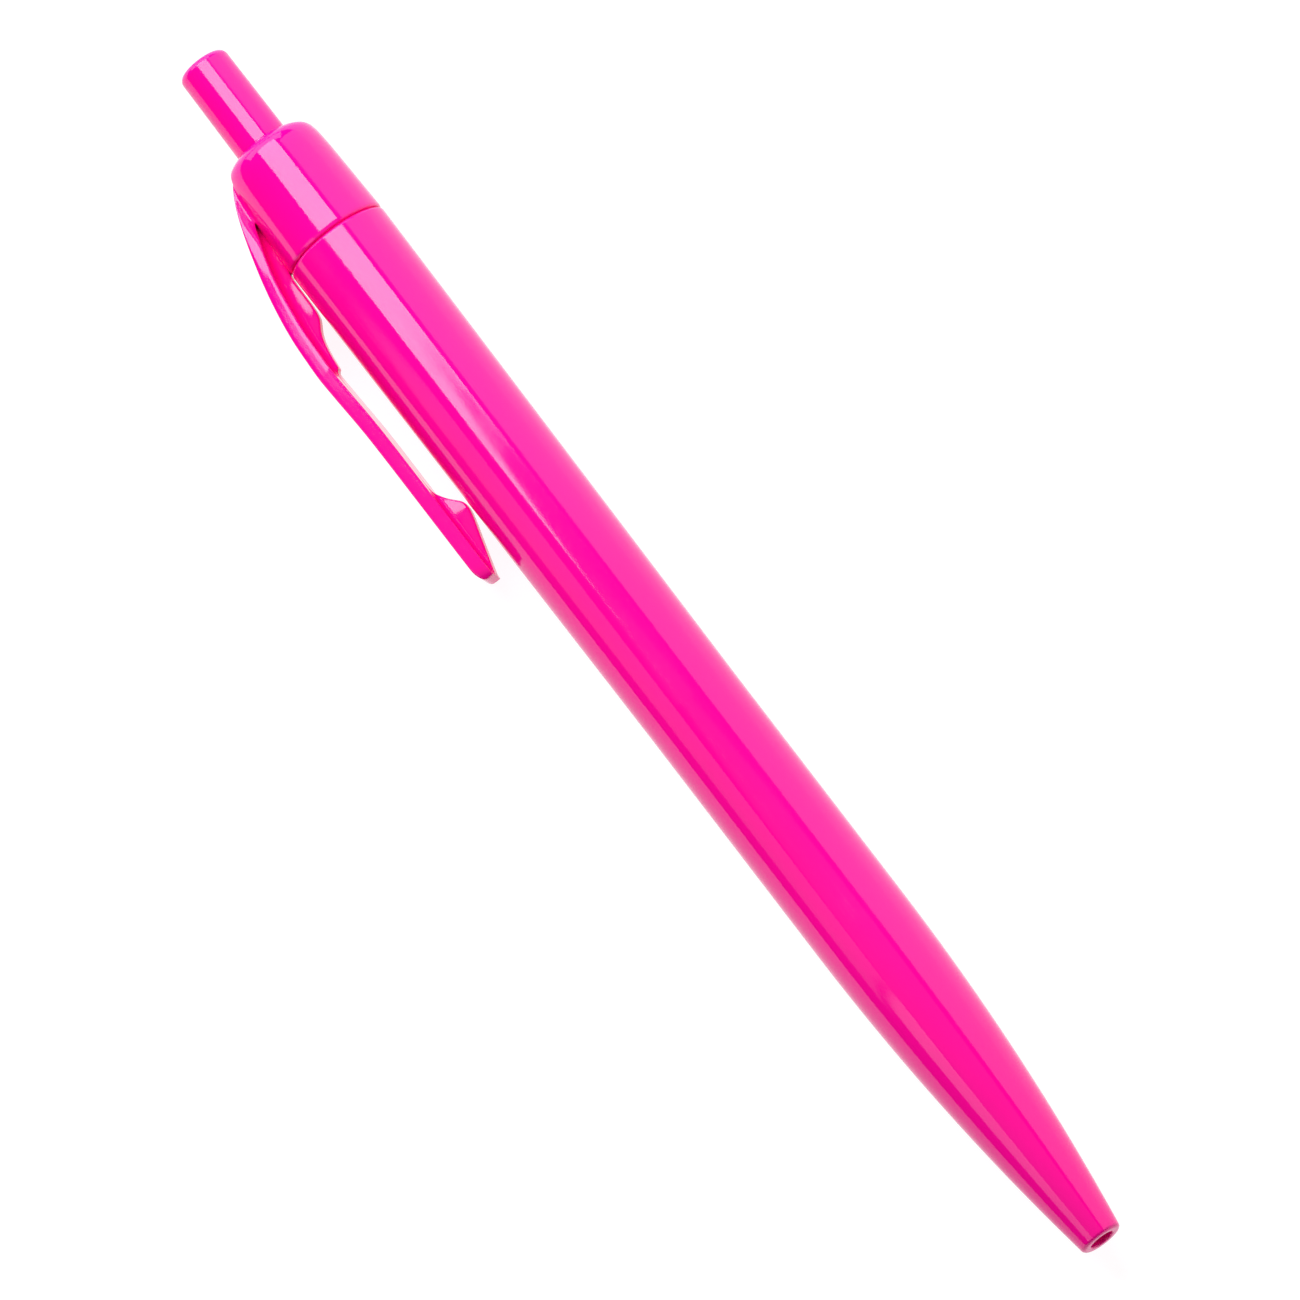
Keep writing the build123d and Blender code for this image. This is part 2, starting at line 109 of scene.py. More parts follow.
def on_axis(x, y, z):
    """Points in the frame from pen measures in mm: x from the button's end, y and z from the axis."""
    return AXIS + np.stack(np.broadcast_arrays(x, y, z), -1) * MM


def rounded_line(corners, step=1.0, turn=math.radians(9)):
    """A half-section from (x, r, fillet) corners. Each corner is replaced by the arc of that radius that
    touches both of its runs: the arc starts fillet * tan(half the turn) before the corner, and its points
    are centre + fillet * (cos, sin). Straight runs get a point about every step, and one close to each end,
    so that the shading stays flat right up to the arcs."""
    shortest_run = 4 * step / 10
    close_to_end = 0.06
    points = []
    last = len(corners) - 1
    for i, (x, r, fillet) in enumerate(corners):
        here = np.array([x, r])
        if fillet == 0 or i in (0, last):
            points.append(here[None])
            continue
        back = np.array(corners[i - 1][:2]) - here
        on = np.array(corners[i + 1][:2]) - here
        back /= np.linalg.norm(back)
        on /= np.linalg.norm(on)
        half = math.acos(np.clip(back @ on, -1, 1)) / 2
        reach = fillet / math.tan(half)
        bisector = (back + on) / np.linalg.norm(back + on)
        centre = here + bisector * fillet / math.sin(half)
        start = here + back * reach - centre
        sweep = math.pi - 2 * half
        side = np.sign(back[0] * on[1] - back[1] * on[0])
        angle = -side * np.linspace(0, sweep, max(3, int(sweep / turn) + 2))
        cos, sin = np.cos(angle), np.sin(angle)
        turned_x = start[0] * cos - start[1] * sin
        turned_r = start[0] * sin + start[1] * cos
        points.append(centre + np.stack([turned_x, turned_r], 1))
    whole = np.concatenate(points)
    filled = [whole[:1]]
    for a, b in zip(whole[:-1], whole[1:]):
        length = np.linalg.norm(b - a)
        if length > shortest_run:
            inside = np.linspace(0, 1, max(2, int(length / step) + 1))[1:-1]
            near = close_to_end / length
            places = np.unique(np.concatenate([[near], inside, [1 - near]]))
            filled.append(a + (b - a) * places[:, None])
        filled.append(b[None])
    return np.concatenate(filled)


def lathe(name, profile, segments=192, closed=True):
    """A surface of revolution: point (i, j) is at profile x[i] along the axis and at r[i] * (cos, sin) of
    angle 2 pi j / segments about it. A closed profile joins its last row to its first; an open one ends on
    the axis."""
    x, r = profile.T
    angle = np.linspace(0, 2 * math.pi, segments, endpoint=False)
    grid = on_axis(x[:, None], r[:, None] * np.cos(angle), r[:, None] * np.sin(angle))
    rows = len(x)
    i, j = np.meshgrid(np.arange(rows if closed else rows - 1), np.arange(segments), indexing="ij")
    a, b = i * segments + j, i * segments + (j + 1) % segments
    up = ((i + 1) % rows) * segments
    quads = np.stack([a, b, up + (j + 1) % segments, up + j], -1).reshape(-1, 4)
    mesh = bpy.data.meshes.new(name)
    mesh.from_pydata(grid.reshape(-1, 3).tolist(), [], quads.tolist())
    return finished(name, mesh)


def finished(name, mesh):
    """Closes seams and poles, turns every face outwards, shades smooth and puts the mesh in the scene."""
    work = bmesh.new()
    work.from_mesh(mesh)
    bmesh.ops.remove_doubles(work, verts=work.verts, dist=1e-7)
    bmesh.ops.dissolve_degenerate(work, edges=work.edges, dist=1e-8)
    bmesh.ops.recalc_face_normals(work, faces=work.faces)
    work.to_mesh(mesh)
    work.free()
    mesh.shade_smooth()
    piece = bpy.data.objects.new(name, mesh)
    bpy.context.collection.objects.link(piece)
    return piece


class Signal:
    """A socket in a material's node tree. Arithmetic on signals adds the Math nodes that work it out."""

    def __init__(self, tree, socket=None):
        self.tree = tree
        self.socket = socket

    def node(self, kind, settings=None, inputs=None, output=0):
        """Adds a node of any type: its settings are set first, then its sockets get values or links."""
        made = self.tree.nodes.new(kind)
        for key, value in (settings or {}).items():
            setattr(made, key, value)
        for key, value in (inputs or {}).items():
            if isinstance(value, Signal):
                self.tree.links.new(value.socket, made.inputs[key])
            else:
                made.inputs[key].default_value = value
        return Signal(self.tree, made.outputs[output])

    def maths(self, operation, first, second):
        return self.node("ShaderNodeMath", {"operation": operation}, {0: first, 1: second})

    def __add__(self, other):
        return self.maths("ADD", self, other)

    __radd__ = __add__

    def __sub__(self, other):
        return self.maths("SUBTRACT", self, other)

    def __rsub__(self, other):
        return self.maths("SUBTRACT", other, self)

    def __mul__(self, other):
        return self.maths("MULTIPLY", self, other)

    def above(self, low, high):
        """0 below low, 1 above high and a smooth step between."""
        inputs = {0: self, 1: low, 2: high, 3: 0.0, 4: 1.0}
        return self.node("ShaderNodeMapRange", {"interpolation_type": "SMOOTHSTEP"}, inputs)

    def noise(self, scale, detail=2.0, stretch=(1, 1, 1)):
        """Noise on this vector: scale is in waves per metre, and stretch multiplies each direction."""
        mapped = self.node("ShaderNodeMapping", None, {"Vector": self, "Scale": stretch})
        inputs = {"Vector": mapped, "Scale": scale, "Detail": detail}
        return self.node("ShaderNodeTexNoise", None, inputs)

    def blend(self, low, high):
        """A colour between two, by this signal."""
        settings = {"data_type": "RGBA"}
        return self.node("ShaderNodeMix", settings, {0: self, 6: low, 7: high}, 2)

    def bump(self, depth, strength=1.0):
        """This height, in units of depth metres, as a normal."""
        inputs = {"Height": self, "Distance": depth, "Strength": strength}
        return self.node("ShaderNodeBump", None, inputs)


def finish_of(name, sockets, build):
    """A Principled material. Constant values go on the shader's own sockets; build(where) gets the Object
    coordinates as a signal and gives the signals for the sockets that vary."""
    material = bpy.data.materials.new(name)
    material.use_nodes = True
    tree = material.node_tree
    shader = tree.nodes["Principled BSDF"]
    for key, value in sockets.items():
        shader.inputs[key].default_value = value
    where = Signal(tree).node("ShaderNodeTexCoord", None, None, "Object")
    for key, signal in build(where).items():
        tree.links.new(signal.socket, shader.inputs[key])
    return material


PINK = (0.985, 0.0006, 0.302, 1)
PINK_DEEP = (0.93, 0.0004, 0.276, 1)


def pink_styrene(name, wave_depth, handling):
    """Fluorescent pink styrene: dye that is a little denser in drifting patches, a glassy skin with long
    shallow flow waves and fine orange peel, hair scratches that only show in the gloss, and handling
    marks."""

    def build(where):
        drift = where.noise(60, 3.0, (0.35, 1, 1))
        colour = drift.above(0.35, 0.7).blend(PINK, PINK_DEEP)
        waves = where.noise(42, 1.0, (0.55, 1.6, 1.6))
        peel = where.noise(2600, 2.0)
        hairs = where.noise(900, 4.0, (0.12, 2.2, 2.2)).above(0.60, 0.72)
        smears = where.noise(110, 3.0).above(0.48, 0.75)
        height = waves * wave_depth + peel * 0.02 - hairs * 0.03
        return {
            "Base Color": colour,
            "Roughness": 0.055 + hairs * 0.05 + smears * handling,
            "Normal": height.bump(0.00002, 0.8),
        }

    return finish_of(name, {"IOR": 1.49, "Specular IOR Level": 0.5}, build)


barrel_styrene = pink_styrene("barrel_styrene", 1.0, 0.05)


def nose_curve(count=64):
    """The nose: one arc that leaves the grip along the axis and ends at the mouth's rim. At dx past its
    start it has dropped by R - sqrt(R squared - dx squared), where R is (length squared + drop squared)
    over (2 drop)."""
    length = pen_length - nose_start_x
    drop = grip_r - nose_end_r
    radius = (length ** 2 + drop ** 2) / (2 * drop)
    dx = length * np.linspace(0, 1, count)
    return [(nose_start_x + d, grip_r - radius + math.sqrt(radius ** 2 - d ** 2), 0.0) for d in dx]


nose = nose_curve()
barrel_profile = rounded_line(
    [
        (seam_x + seam_gap, seam_inner_r, 0.0),
        (seam_x + seam_gap, barrel_top_r, 0.3),
        (grip_start_x, grip_r, 60.0),
    ]
    + nose[:-1]
    + [
        (pen_length, nose_end_r, 0.4),
        (pen_length, mouth_r, 0.16),
        (mouth_start_x, mouth_r, 0.1),
        (mouth_start_x, chamber_r, 0.1),
        (chamber_start_x, chamber_r, 1.0),
        (nose_start_x, barrel_bore_r, 1.0),
        (socket_end_x, barrel_bore_r, 0.1),
        (socket_end_x, socket_r, 0.1),
        (seam_x, socket_r, 0.05),
        (seam_x, seam_step_r, 0.02),
        (seam_x + seam_gap, seam_inner_r, 0.0),
    ]
)
barrel = lathe("barrel_shell", barrel_profile[:-1])
barrel.data.materials.append(barrel_styrene)
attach(barrel, "housing")
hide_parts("barrel")


# --------------------------------------------------------------------------------------------------------
# Collar and pocket clip: one moulding in the same styrene as the barrel. The clip grows out of the collar's
# dome, arches over and runs down to a wedge-shaped foot. Its spigot snaps into the barrel's socket.
# --------------------------------------------------------------------------------------------------------
collar_low, collar_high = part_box("collar")
clip_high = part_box("pocket_clip")[1]
collar_top_x = (collar_low[0] - AXIS[0]) / MM
spigot_end_x = (collar_high[0] - AXIS[0]) / MM
clip_end_x = (clip_high[0] - AXIS[0]) / MM
clip_half = 2.8
clip_tip_half = 2.1
clip_neck_half = 1.9
clip_crown_x = 31.5
clip_crown_out = 8.95
crown_edge_r = math.hypot(clip_crown_out, clip_half)
clip_droop = math.asin(barrel_top_r / crown_edge_r) - math.atan2(clip_half, clip_crown_out)
clip_out = np.array([-math.cos(clip_droop), -math.sin(clip_droop)])
clip_side = np.array([math.sin(clip_droop), -math.cos(clip_droop)])
columns = 84
patch_half = 6
draft = 0.025


def clip_space(x, out, across):
    """Points from a place along the pen, a distance from the axis towards the clip, and one across it."""
    y = out * clip_out[0] + across * clip_side[0]
    z = out * clip_out[1] + across * clip_side[1]
    return on_axis(x, y, z)


# The collar's cage: (x, r) rows round its whole section. The spigot has a snap bead, and the recess inside
# holds the guide sleeve. The clip leaves through an opening in the dome's rows.
hole_r = 2.76
spigot_r = 4.28
bead_r = 4.40
recess_r = 3.5
recess_x = 13.0
hole_rows = [(recess_x, hole_r), (11.0, hole_r), (10.12, hole_r)]
rim_rows = [(collar_top_x, 2.84), (collar_top_x - 0.02, 3.02)]
dome_rows = [(10.16, 3.72), (10.62, 4.55), (11.7, 4.94), (15.2, 5.07)]
flank_rows = [(18.4, 5.17), (20.9, 5.255), (seam_x - 0.32, 5.27)]
seam_rows = [(seam_x - 0.05, 5.2), (seam_x, 5.0), (seam_x, 4.40)]
spigot_rows = [(x, spigot_r) for x in (seam_x, seam_x + 0.12, seam_x + 1.0, 27.6, 28.1)]
bead_rows = [(28.6, bead_r), (29.1, spigot_r), (29.6, spigot_r), (spigot_end_x - 0.3, spigot_r)]
end_rows = [(spigot_end_x, 4.1), (spigot_end_x, 3.6)]
recess_rows = [(x, recess_r) for x in (spigot_end_x - 0.2, 27.0, 20.0, 13.15)]
floor_rows = [(recess_x, 3.4), (recess_x, 3.1)]
outside_rows = hole_rows + rim_rows + dome_rows + flank_rows + seam_rows
inside_rows = spigot_rows + bead_rows + end_rows + recess_rows + floor_rows
collar_rows = np.array(outside_rows + inside_rows)
patch_top = len(hole_rows) + len(rim_rows)
patch_bottom = patch_top + len(dome_rows) - 1
turn_of = 2 * math.pi / columns

# Subdivision draws a ring of points inwards, so the cage stands out by as much.
swell = 1 / (2 / 3 + math.cos(turn_of) / 3)

row_count = len(collar_rows)
theta = turn_of * np.arange(columns)
row_x, row_r = collar_rows.T
cage = clip_space(
    row_x[:, None] + 0 * theta,
    row_r[:, None] * swell * np.cos(theta),
    row_r[:, None] * swell * np.sin(theta),
).reshape(-1, 3)
i, j = np.meshgrid(np.arange(row_count), np.arange(columns), indexing="ij")
wrapped = (j + columns // 2) % columns - columns // 2
in_patch = (i >= patch_top) & (i < patch_bottom) & (wrapped >= -patch_half) & (wrapped < patch_half)
below = ((i + 1) % row_count) * columns
collar_quads = np.stack(
    [i * columns + j, i * columns + (j + 1) % columns, below + (j + 1) % columns, below + j], -1
)[~in_patch]

# The clip's cage: rings that start as the edge of the opening in the collar. Each station gives the outer
# face's (x, out), the inner face's (x, out), and how far out the rib's or the foot wedge's edge lies.
no_edge = 99.0
stations = [
    ((11.9, 4.75), (16.2, 5.16), 5.0),
    ((14.0, 5.66), (17.6, 5.50), 4.95),
    ((16.6, 6.52), (19.2, 6.05), 5.0),
    ((19.2, 7.25), (20.8, 6.42), 5.15),
    ((20.6, 7.62), (21.7, 6.62), 5.40),
    ((22.8, 8.12), (23.6, 6.92), 5.40),
    ((25.2, 8.52), (25.8, 7.20), 5.42),
    ((26.2, 8.64), (26.5, 7.27), 5.62),
    ((26.9, 8.72), (27.1, 7.32), 6.02),
    ((27.7, 8.79), (27.8, 7.37), 6.42),
    ((28.9, 8.86), (29.1, 7.43), 6.78),
    ((31.1, 8.95), (31.1, 7.50), 6.98),
    ((31.5, 8.95), (31.4, 7.50), 7.00),
    ((31.9, 8.95), (31.55, 7.50), no_edge),
    ((34.6, 8.84), (34.4, 7.39), no_edge),
    ((38.0, 8.63), (38.0, 7.18), no_edge),
    ((42.5, 8.62), (42.5, 7.17), no_edge),
    ((46.3, 8.62), (46.3, 7.17), no_edge),
    ((46.8, 8.62), (46.8, 7.17), 6.85),
    ((47.6, 8.62), (47.6, 7.17), 6.45),
    ((48.5, 8.62), (48.5, 7.17), 5.60),
    ((49.0, 8.62), (49.0, 7.17), 5.25),
    ((49.9, 8.62), (49.9, 7.17), 5.25),
    ((52.2, 8.62), (52.2, 7.17), 5.95),
    ((54.4, 8.62), (54.4, 7.17), 6.58),
    ((55.4, 8.60), (55.7, 7.17), 6.95),
    ((56.1, 8.28), (clip_end_x - 0.02, 7.17), 7.12),
    ((clip_end_x, 8.0), (clip_end_x, 7.2), no_edge),
]
outer = np.array([s[0] for s in stations])
inner = np.array([s[1] for s in stations])
edge_out = np.array([s[2] for s in stations])
ridge = np.where(edge_out < no_edge, inner[:, 1] - edge_out, 0)
neck = np.interp(outer[:, 0], [11.9, 14.2, 17.0], [clip_neck_half, 2.55, clip_half])
half = np.minimum(neck, np.interp(outer[:, 0], [clip_crown_x, clip_end_x], [clip_half, clip_tip_half]))
rounding_x = 55.0
rounding_length = 1.3
half -= 0.5 * np.clip((outer[:, 0] - rounding_x) / rounding_length, 0, 1) ** 2
across = np.array([-1, -0.93, -0.8, -0.6, -0.4, -0.2, 0, 0.2, 0.4, 0.6, 0.8, 0.93, 1])
ridge_half = np.where(outer[:, 0] < 40, 0.6, 0.7)
top = ridge_half / half
flank = top + 0.03
base = top + 0.08
one = np.ones(len(stations))
inner_across = np.stack([one, 0.93 * one, 0.74 * one, base, flank, 0.8 * top, 0 * one], 1)
inner_across = np.concatenate([inner_across, -inner_across[:, -2::-1]], 1)
ridge_share = np.array([0, 0, 0, 0, 1, 1, 1, 1, 1, 0, 0, 0, 0])
down = np.arange(1, patch_bottom - patch_top) / (patch_bottom - patch_top)
down_edge = np.ones((len(stations), len(down)))
ring_across = np.concatenate([across * one[:, None], down_edge, inner_across, -down_edge], 1)
ring_down = np.concatenate([0 * across, down, 0 * across + 1, down[::-1]])
on_ridge = np.concatenate([0 * across, 0 * down, ridge_share, 0 * down])
x_of = outer[:, :1] + (inner[:, :1] - outer[:, :1]) * ring_down
out_of = outer[:, 1:] + (inner[:, 1:] - outer[:, 1:]) * ring_down - ridge[:, None] * on_ridge
across_of = half[:, None] * ring_across * (1 - draft * (1 - ring_down))
rings = clip_space(x_of, out_of, across_of)
ring_size = rings.shape[1]

patch_columns = np.arange(-patch_half, patch_half + 1) % columns
side_rows = np.arange(patch_top + 1, patch_bottom)
first_ring = np.concatenate([
    patch_top * columns + patch_columns,
    side_rows * columns + patch_columns[-1],
    patch_bottom * columns + patch_columns[::-1],
    side_rows[::-1] * columns + patch_columns[0],
])
ring_ids = len(cage) + np.arange(rings.shape[0] * ring_size).reshape(-1, ring_size)
all_rings = np.vstack([first_ring, ring_ids])
following = np.roll(all_rings, -1, axis=1)
clip_quads = np.stack([all_rings[:-1], following[:-1], following[1:], all_rings[1:]], -1).reshape(-1, 4)

# The clip's end is closed by a grid whose edge is the last ring.
cap_bulge = 0.04
wide = 2 * patch_half + 1
deep = len(down)
last_ring = ring_ids[-1]
cap = np.zeros((deep + 2, wide), int)
cap[0] = last_ring[:wide]
cap[-1] = last_ring[wide + deep:2 * wide + deep][::-1]
cap[1:-1, -1] = last_ring[wide:wide + deep]
cap[1:-1, 0] = last_ring[2 * wide + deep:][::-1]
fill_ids = len(cage) + rings.shape[0] * ring_size + np.arange(deep * (wide - 2))
cap[1:-1, 1:-1] = fill_ids.reshape(deep, -1)
fill_across, fill_down = np.meshgrid(across[1:-1], down)
fill = clip_space(
    clip_end_x + cap_bulge,
    outer[-1, 1] + (inner[-1, 1] - outer[-1, 1]) * fill_down,
    half[-1] * fill_across,
).reshape(-1, 3)
cap_quads = np.stack([cap[:-1, :-1], cap[:-1, 1:], cap[1:, 1:], cap[1:, :-1]], -1).reshape(-1, 4)

collar_mesh = bpy.data.meshes.new("collar_with_clip")
collar_mesh.from_pydata(
    np.vstack([cage, rings.reshape(-1, 3), fill]).tolist(),
    [],
    np.vstack([collar_quads, clip_quads, cap_quads]).tolist(),
)
collar_clip = finished("collar_with_clip", collar_mesh)

smooth = collar_clip.modifiers.new("smooth", "SUBSURF")
smooth.levels = smooth.render_levels = 2
collar_clip.data.materials.append(pink_styrene("collar_styrene", 0.5, 0.04))

# The moulding bends between the collar's spigot and the clip's crown. Only the two ends of the line that a
# bend weight would run along are worked out here: it leans outwards from the spigot, and the weight would
# be 0 on every point of the collar and 1 on the clip's foot. No weight is made from them.
lean = 4.0
bend_start = spigot_end_x + lean * spigot_r
bend_end = 64.0
share = (bend_end - bend_start) / (1 + lean ** 2)
start = clip_space(np.array(bend_start - lean * spigot_r), np.array(spigot_r), np.array(0.0))
end = start + np.array([share, *(lean * share * clip_out)]) * MM
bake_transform(collar_clip)
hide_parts("collar", "pocket_clip")


# --------------------------------------------------------------------------------------------------------
# Push button: a pink styrene cap with a flat end and a soft edge, hollow from below for the crown's stem.
# Handling shows a little more in its gloss than on the barrel.
# --------------------------------------------------------------------------------------------------------
button_length = (button_high[0] - button_low[0]) / MM
button_r = 2.65
button_end_r = 2.575
draft_end_x = 9.9
stem_bore_r = 1.62
stem_bore_x = 3.0
button_profile = rounded_line([
    (0.0, 0.0, 0.0),
    (0.0, button_end_r, 0.75),
    (draft_end_x, button_r, 40.0),
    (button_length, button_r, 0.12),
    (button_length, stem_bore_r, 0.12),
    (stem_bore_x, stem_bore_r, 0.3),
    (stem_bore_x, 0.0, 0.0),
], step=0.5)
button = lathe("push_button_cap", button_profile, closed=False)
button.data.materials.append(pink_styrene("button_styrene", 0.35, 0.08))
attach(button, "button")
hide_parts("push_button")


# --------------------------------------------------------------------------------------------------------
# Click mechanism: three mouldings in natural acetal. The sleeve is fixed in the collar's recess, the crown
# is pushed by the button, and the rotor rides in the sleeve's slots and pushes the refill.
# --------------------------------------------------------------------------------------------------------
def acetal(name, tint):
    """Natural acetal: milky and waxy, with a satin skin, faint flow clouds and fine eroded-mould grain."""

    denser = (tint[0] * 0.93, tint[1] * 0.93, tint[2] * 0.90, 1)

    def build(where):
        cloud = where.noise(240, 3.0).above(0.3, 0.75)
        grain = where.noise(9000, 2.0)
        return {
            "Base Color": cloud.blend(tint, denser),
            "Roughness": 0.34 + cloud * 0.1,
            "Normal": grain.bump(0.000008, 0.5),
        }

    sockets = {"IOR": 1.48, "Subsurface Weight": 0.15, "Subsurface Scale": 0.0008}
    return finish_of(name, sockets, build)


def dress(node, material):
    """Gives a CAD node's mesh a material in every slot."""
    mesh = frame["nodes"][node].data
    mesh.materials.clear()
    mesh.materials.append(material)


dress("guide_sleeve", acetal("sleeve_acetal", (0.84, 0.84, 0.80, 1)))
dress("thrust_crown", acetal("crown_acetal", (0.86, 0.86, 0.83, 1)))
dress("rotor", acetal("rotor_acetal", (0.82, 0.83, 0.82, 1)))


# --------------------------------------------------------------------------------------------------------
# Refill: a translucent polypropylene tube of pink ink with a grease plug behind it, and an acetal holder
# pressed into its front end that carries the writing point and the flange for the spring.
# --------------------------------------------------------------------------------------------------------
def liquid(name, colour, depth_colour, roughness):
    """A thick liquid seen through the tube: glossy, with slow streaks where it has crept along the wall."""

    def build(where):
        streak = where.noise(500, 3.0, (0.1, 1, 1)).above(0.35, 0.7)
        mixed = streak.blend(colour, depth_colour)
        return {"Base Color": mixed, "Roughness": roughness + streak * 0.05}

    return finish_of(name, {"IOR": 1.42}, build)


def clear_polypropylene(where):
    """Extruded tube: long draw lines along it and a slightly frosted wall."""
    lines = where.noise(1500, 2.0, (0.03, 1, 1))
    return {"Roughness": 0.18 + lines * 0.2, "Normal": lines.bump(0.00001, 0.4)}


tube_sockets = {"Base Color": (0.93, 0.95, 0.95, 1), "Transmission Weight": 0.75, "IOR": 1.49}
dress("refill_tube", finish_of("clear_polypropylene", tube_sockets, clear_polypropylene))
dress("ink_column", liquid("pink_ink", (0.92, 0.004, 0.22, 1), (0.75, 0.002, 0.16, 1), 0.12))
dress("ink_follower", liquid("follower_grease", (0.78, 0.66, 0.32, 1), (0.66, 0.52, 0.22, 1), 0.2))
dress("tip_holder", acetal("holder_acetal", (0.86, 0.86, 0.82, 1)))


# --------------------------------------------------------------------------------------------------------
# Writing point: a socket turned from brass bar, with a shoulder, a tapered nose and a lip rolled over the
# ball. The ball is ground carbide, one millimetre across.
# --------------------------------------------------------------------------------------------------------
point_low, point_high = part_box("writing_point")
ball_low, ball_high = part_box("ball")
point_start_x = (point_low[0] - AXIS[0]) / MM
point_end_x = (point_high[0] - AXIS[0]) / MM
shank_x = point_start_x + 4.0
ball_r = (ball_high[0] - ball_low[0]) / 2 / MM
ball_x = (ball_low[0] + ball_high[0]) / 2 / MM - AXIS[0] / MM
ink_bore_r = 0.28
shank_r = 0.60
shoulder_r = 1.15
point_profile = rounded_line([
    (point_start_x, ink_bore_r, 0.0),
    (point_start_x, shank_r, 0.08),
    (shank_x, shank_r, 0.03),
    (shank_x, shoulder_r, 0.08),
    (point_end_x - 3.7, shoulder_r, 0.25),
    (point_end_x - 1.2, 0.80, 0.1),
    (point_end_x - 1.1, 0.76, 0.1),
    (point_end_x - 0.16, 0.665, 0.06),
    (point_end_x, 0.575, 0.04),
    (point_end_x, 0.485, 0.02),
    (point_end_x - 0.22, 0.52, 0.1),
    (point_end_x - 0.55, 0.40, 0.1),
    (point_end_x - 0.75, ink_bore_r, 0.05),
    (point_start_x, ink_bore_r, 0.0),
], step=0.25)
point = lathe("point_socket", point_profile[:-1], segments=96)


def turned_brass(where):
    """Brass from the lathe: fine rings round it from the tool's feed, and slightly tarnished."""
    rings_of = where.node("ShaderNodeMapping", None, {"Vector": where, "Scale": (1, 0.02, 0.02)})
    feed = rings_of.noise(24000, 1.0)
    tarnish = where.noise(700, 3.0).above(0.4, 0.75)
    return {
        "Base Color": tarnish.blend((0.83, 0.64, 0.33, 1), (0.70, 0.50, 0.23, 1)),
        "Roughness": 0.2 + tarnish * 0.12 + feed * 0.06,
        "Normal": feed.bump(0.000003, 0.6),
    }


point.data.materials.append(finish_of("turned_brass", {"Metallic": 1.0}, turned_brass))
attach(point, "refill")
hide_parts("writing_point")


def ground_carbide(where):
    """Sintered carbide: a dark mirror with a fine pitted grain that carries the ink."""
    pits = where.noise(30000, 2.0).above(0.5, 0.7)
    return {"Roughness": 0.09 + pits * 0.12, "Normal": (1 - pits).bump(0.000002, 0.5)}


arc = np.linspace(0, math.pi, 49)
ball_profile = np.stack([ball_x - ball_r * np.cos(arc), ball_r * np.sin(arc)], 1)
ball = lathe("writing_ball", ball_profile, segments=64, closed=False)
carbide_sockets = {"Metallic": 1.0, "Base Color": (0.42, 0.42, 0.44, 1)}
ball.data.materials.append(finish_of("ground_carbide", carbide_sockets, ground_carbide))
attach(ball, "ball")
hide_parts("ball")


# --------------------------------------------------------------------------------------------------------
# Return spring: drawn steel wire wound with closed, ground ends. It stands between the flange of the
# refill's holder and the seat in the barrel's nose. The real one shortens as the button goes down; here
# only the seat and the stroke's share of the spring's length are worked out, and the coil keeps its length.
# --------------------------------------------------------------------------------------------------------
spring_low, spring_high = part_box("return_spring")
wire_r = 0.175
coil_r = (spring_high[1] - spring_low[1]) / 2 / MM - wire_r
end_slack = 0.02
ground_off = 0.1
spring_start_x = (spring_low[0] - AXIS[0]) / MM + end_slack
spring_end_x = (spring_high[0] - AXIS[0]) / MM - end_slack
dead_turns = 1.6
live_turns = 9.5
all_turns = 2 * dead_turns + live_turns
turn_steps = 40
wire_sides = 14


def coil_path(turns):
    """How far the wire has climbed: about one wire in each closed turn, and evenly in the live ones."""
    wire = 2 * wire_r * 1.02
    length = spring_end_x - spring_start_x - 2 * wire_r
    live_pitch = (length - 2 * dead_turns * wire) / live_turns
    knots = np.array([0, dead_turns, dead_turns + live_turns, all_turns])
    climbs = np.array([0, dead_turns * wire, dead_turns * wire + live_turns * live_pitch, length])
    return np.interp(turns, knots, climbs)


turns = np.linspace(0, all_turns, int(all_turns * turn_steps))
raw = coil_path(turns)
kernel = np.hanning(turn_steps // 2)
padded = np.pad(raw, len(kernel) // 2, mode="reflect", reflect_type="odd")
climb = np.convolve(padded, kernel / kernel.sum(), mode="valid")[:len(turns)]
angle = 2 * math.pi * turns
radial = np.stack([0 * angle, np.cos(angle), np.sin(angle)], 1)
line = np.stack([spring_start_x + wire_r + climb, coil_r * np.cos(angle), coil_r * np.sin(angle)], 1)
tangent = np.gradient(line, axis=0)
tangent /= np.linalg.norm(tangent, axis=1, keepdims=True)
binormal = np.cross(tangent, radial)
binormal /= np.linalg.norm(binormal, axis=1, keepdims=True)
side = np.cross(binormal, tangent)
round_wire = np.linspace(0, 2 * math.pi, wire_sides, endpoint=False)
to_side = np.cos(round_wire)[None, :, None] * side[:, None]
to_binormal = np.sin(round_wire)[None, :, None] * binormal[:, None]
wire_points = line[:, None] + wire_r * (to_side + to_binormal)
ground_low = spring_start_x + ground_off
ground_high = spring_end_x - ground_off
wire_points[..., 0] = np.clip(wire_points[..., 0], ground_low, ground_high)
grid = on_axis(wire_points[..., 0], wire_points[..., 1], wire_points[..., 2])
i, j = np.meshgrid(np.arange(len(turns) - 1), np.arange(wire_sides), indexing="ij")
nxt = (j + 1) % wire_sides
wire_quads = np.stack([i, i, i + 1, i + 1], -1) * wire_sides + np.stack([j, nxt, nxt, j], -1)
last_turn = (len(turns) - 1) * wire_sides
ends = [list(range(wire_sides)), [last_turn + k for k in range(wire_sides)]]
spring_mesh = bpy.data.meshes.new("spring_wire")
spring_mesh.from_pydata(grid.reshape(-1, 3).tolist(), [], wire_quads.reshape(-1, 4).tolist() + ends)
spring = finished("spring_wire", spring_mesh)


